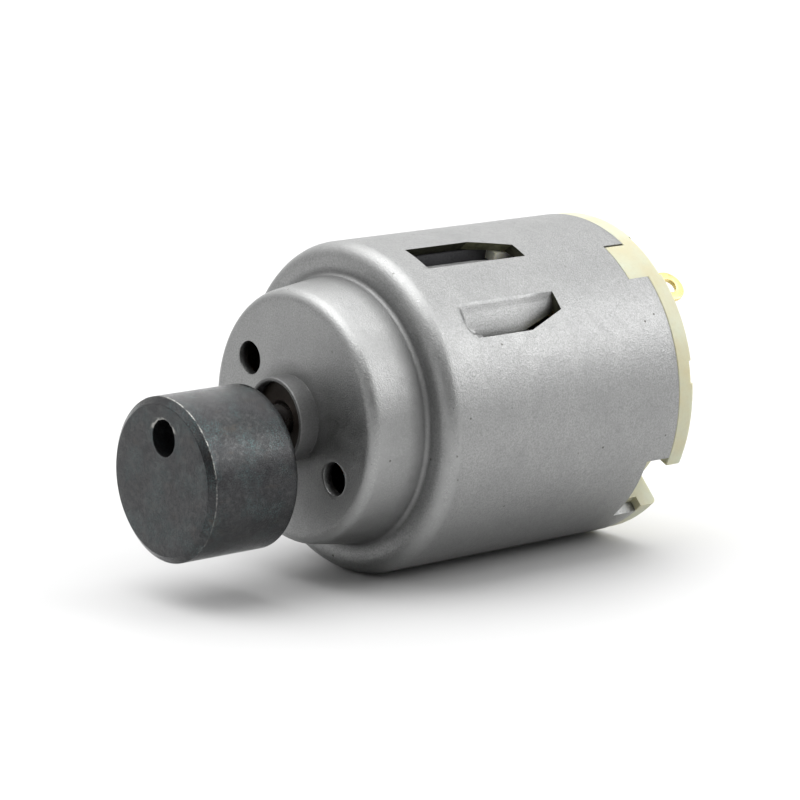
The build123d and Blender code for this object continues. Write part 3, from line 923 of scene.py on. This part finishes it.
def weight_rows():
    """Circles (centre, radius, y) of the weight: out of its mouth, over its side and back into its bore."""
    # The smallest offsets are the rows of a rounded edge
    axis = Vector((0, 0))
    front, rear, edge = WEIGHT_FRONT, WEIGHT_REAR, WEIGHT_RADIUS

    def face(y, hole, rim):
        return [(axis.lerp(WEIGHT_CENTRE, share), hole + (rim - hole) * share, y) for share in FACE_SHARES]

    rows = [(axis, MOUTH_RADIUS, front + depth) for depth in MOUTH_ROWS]
    rows += [(axis, MOUTH_RADIUS + 0.01, front + 0.01), (axis, MOUTH_RADIUS + 0.04, front)]
    rows += face(front, MOUTH_RADIUS + 0.09, edge - 0.54)
    rows += [(WEIGHT_CENTRE, edge - inset, front + depth) for inset, depth in FRONT_RIM]
    rows += [(WEIGHT_CENTRE, edge, y) for y in even(front + 0.8, rear - 0.5, 0.6)]
    rows += [(WEIGHT_CENTRE, edge - inset, rear - depth) for inset, depth in REAR_RIM]
    rows += face(rear, SHAFT_RADIUS + 0.06, edge - 0.25)[::-1]
    rows += [(axis, SHAFT_RADIUS, y) for y in (rear - 0.06, rear - 0.6, front + MOUTH_DEPTH)]
    return rows


def chip_mouth(builder):
    """Pushes the upper half of the mouth's edge outwards, unevenly."""
    for vertex in builder.verts:
        place = vertex.co / MM
        reach = (place.x ** 2 + place.z ** 2) ** 0.5
        deep = WEIGHT_FRONT + CHIP_ZONE - place.y
        if deep > 0 and reach < MOUTH_RADIUS + CHIP_ZONE:
            upper = smooth((place.z / reach - 0.3) / 0.5)
            chip = max(0.0, noise.noise(place * CHIPS_PER_MM) + 0.25) * upper
            push = min(1.0, deep / CHIP_ZONE) * CHIP_DEPTH * chip
            vertex.co.x += place.x / reach * push * MM
            vertex.co.z += place.z / reach * push * MM


def mark_weight(mesh):
    """Marks the pale line on the weight's front rim and the upper edge of its mouth: wear, with a painted
    highlight that is strongest on the rim's upper-right side and on the mouth's upper edge.
    """
    wear_and_painted_highlight = []
    for vertex in mesh.vertices:
        place = vertex.co / MM
        flat = Vector((place.x, place.z))
        outwards = flat - WEIGHT_CENTRE
        depth = place.y - WEIGHT_FRONT
        rim = 0.0
        if PALE_LINE[0] < depth < PALE_LINE[1] and outwards.length > WEIGHT_RADIUS - 0.03:
            facing = cos(atan2(outwards.y, outwards.x) - HIGHLIGHT_SIDE)
            start, full = HIGHLIGHT_RISE
            rim = PALE_LEAST + (1 - PALE_LEAST) * smooth((facing - start) / (full - start))
        upper = place.z > PALE_MOUTH_BOTTOM and depth < PALE_MOUTH_DEPTH
        mouth = upper and flat.length < MOUTH_RADIUS + PALE_MOUTH
        wear_and_painted_highlight.append(max(rim, float(mouth)))
    add_values(mesh, "wear_and_painted_highlight", wear_and_painted_highlight)


def build_weight():
    """Sintered weight: chamfered front edge with a pale rim, wear with a painted highlight, and a shaft hole
    with a chipped mouth.
    """
    builder = closed_skin([circle(*row) for row in weight_rows()])
    chip_mouth(builder)
    weight = finish_mesh(builder, "weight", SHARP)
    mark_weight(weight.data)
    stand_in(weight, "rotor", "weight_metal", "eccentric_weight")
    paint(weight, "weight_metal")


# ---------------------------------------------------------------- pieces cut from CAD

def build_softened(node, name, slot, width):
    """Copy of a CAD node of the housing with its hard edges rounded over."""
    builder = bmesh.new()
    builder.from_mesh(frame["nodes"][node].data)
    bmesh.ops.remove_doubles(builder, verts=builder.verts, dist=WELD * MM)
    bmesh.ops.dissolve_limit(builder, angle_limit=radians(0.5), verts=builder.verts, edges=builder.edges)
    obj = finish_mesh(builder, name, SHARP)
    round_edges(obj, width, segments=3, sharp=SHARP)
    settled = bpy.data.meshes.new_from_object(obj.evaluated_get(bpy.context.evaluated_depsgraph_get()))
    obj.modifiers.clear()
    builder = bmesh.new()
    builder.from_mesh(settled)
    bmesh.ops.triangulate(builder, faces=builder.faces)
    bmesh.ops.remove_doubles(builder, verts=builder.verts, dist=SLIVER * MM)
    shade(builder, SHARP)
    builder.to_mesh(settled)
    builder.free()
    obj.data = settled
    stand_in(obj, "housing", slot, node)
    paint(obj, slot)


# ---------------------------------------------------------------- stage

# Surroundings: a pale tent, brighter and darker in places. Each glow is centred on a direction:
# (direction, its cosine where the glow starts and where it is full, strength outside it and where it is full)
SKY = (
    ((0.0, 0.0, 1.0), 0.16, 0.46, 0.64, 0.92),
    ((0.0, -0.55, 0.83), 0.6, 1.0, 0.0, 1.0),
    ((-0.74, 0.63, 0.25), 0.6, 1.0, 0.0, 0.5),
    ((0.35, -0.85, 0.40), 0.75, 1.0, 0.0, -0.7),
    ((0.50, 0.63, 0.59), 0.82, 1.0, 0.0, 0.95),
    ((0.75, -0.63, 0.2), 0.3, 1.0, 0.0, -0.4),
)
LEAST_SKY = 0.02
FLOOR_TONE = 0.56
FLOOR_REACH = 3.0

# Lamps: (name, place, target, size, power)
LAMPS = (
    ("top", (-0.28, 0.05, 1.04), (-0.28, 0.05, 0), (1.36, 1.50), 13.0),
    ("back", (1.22, 1.24, 0.98), (0, 0, 0), (2.0, 0.40), 13.0),
)

CAMERA_TARGET = Vector((0, 0.010, 0))
CAMERA_AZIMUTH = radians(50.113)
CAMERA_ELEVATION = radians(11.234)
CAMERA_DISTANCE = 0.26117
CAMERA_LENS = 162.5


def looking_along(direction):
    """Rotation of a camera or a lamp that looks along a direction."""
    return direction.to_track_quat("-Z", "Y").to_euler()


def build_lamp(name, place, target, size, power):
    """Soft rectangular light that faces a target."""
    data = bpy.data.lights.new(name, "AREA")
    data.shape = "RECTANGLE"
    data.size, data.size_y = size
    data.energy = power
    light = add_object(name, data)
    light.location = place
    light.rotation_euler = looking_along(Vector(target) - Vector(place))


def build_floor():
    """Pale floor under the object."""
    low, far = cad_box[0][2], FLOOR_REACH
    corners = [(-far, -far, low), (far, -far, low), (far, far, low), (-far, far, low)]
    mesh = bpy.data.meshes.new("floor")
    mesh.from_pydata(corners, [], [(0, 1, 2, 3)])
    floor = add_object("floor", mesh)
    s = Shader("floor")
    s.set("Base Color", (FLOOR_TONE, FLOOR_TONE, FLOOR_TONE, 1.0))
    s.set("Roughness", 0.6)
    mesh.materials.append(s.material)


def build_sky():
    """White surroundings whose strength is the sum of the SKY glows."""
    world = bpy.data.worlds.new("studio")
    world.use_nodes = True
    nodes, links = world.node_tree.nodes, world.node_tree.links
    background = nodes["Background"]
    background.inputs["Color"].default_value = (1, 1, 1, 1)
    place = nodes.new("ShaderNodeTexCoord")
    strength = None
    for direction, *span in SKY:
        faced = nodes.new("ShaderNodeVectorMath")
        faced.operation = "DOT_PRODUCT"
        faced.inputs[1].default_value = Vector(direction).normalized()
        links.new(place.outputs["Generated"], faced.inputs[0])
        glow = nodes.new("ShaderNodeMapRange")
        glow.interpolation_type = "SMOOTHSTEP"
        for name, value in zip(("From Min", "From Max", "To Min", "To Max"), span):
            glow.inputs[name].default_value = value
        links.new(faced.outputs["Value"], glow.inputs["Value"])
        if strength is None:
            strength = glow.outputs["Result"]
        else:
            total = nodes.new("ShaderNodeMath")
            links.new(strength, total.inputs[0])
            links.new(glow.outputs["Result"], total.inputs[1])
            strength = total.outputs["Value"]
    lit = nodes.new("ShaderNodeMath")
    lit.operation = "MAXIMUM"
    lit.inputs[1].default_value = LEAST_SKY
    links.new(strength, lit.inputs[0])
    links.new(lit.outputs["Value"], background.inputs["Strength"])
    bpy.context.scene.world = world


def build_camera():
    """Camera on the object's front right, a little above it."""
    flat = cos(CAMERA_ELEVATION)
    back = Vector((sin(CAMERA_AZIMUTH) * flat, -cos(CAMERA_AZIMUTH) * flat, sin(CAMERA_ELEVATION)))
    data = bpy.data.cameras.new("camera")
    data.lens = CAMERA_LENS
    data.sensor_width = 36.0
    data.clip_start = 0.01
    camera = add_object("camera", data)
    camera.location = CAMERA_TARGET + back * CAMERA_DISTANCE
    camera.rotation_euler = looking_along(-back)
    bpy.context.scene.camera = camera


# ---------------------------------------------------------------- build

build_camera()
build_floor()
build_sky()
for lamp in LAMPS:
    build_lamp(*lamp)
bpy.context.scene.view_settings.view_transform = "Standard"

build_can()
build_weight()
build_softened("terminal_a", "lug_a", "brass", LUG_EDGE)
build_softened("terminal_b", "lug_b", "brass", LUG_EDGE)
build_softened("end_cap", "rear_cap", "nylon", CAP_EDGE)

slots = {row["node"]: row["material_slot"] for row in frame["record"]["subparts"]}
for node, obj in frame["nodes"].items():
    if not obj.hide_render:
        paint(obj, slots[node])
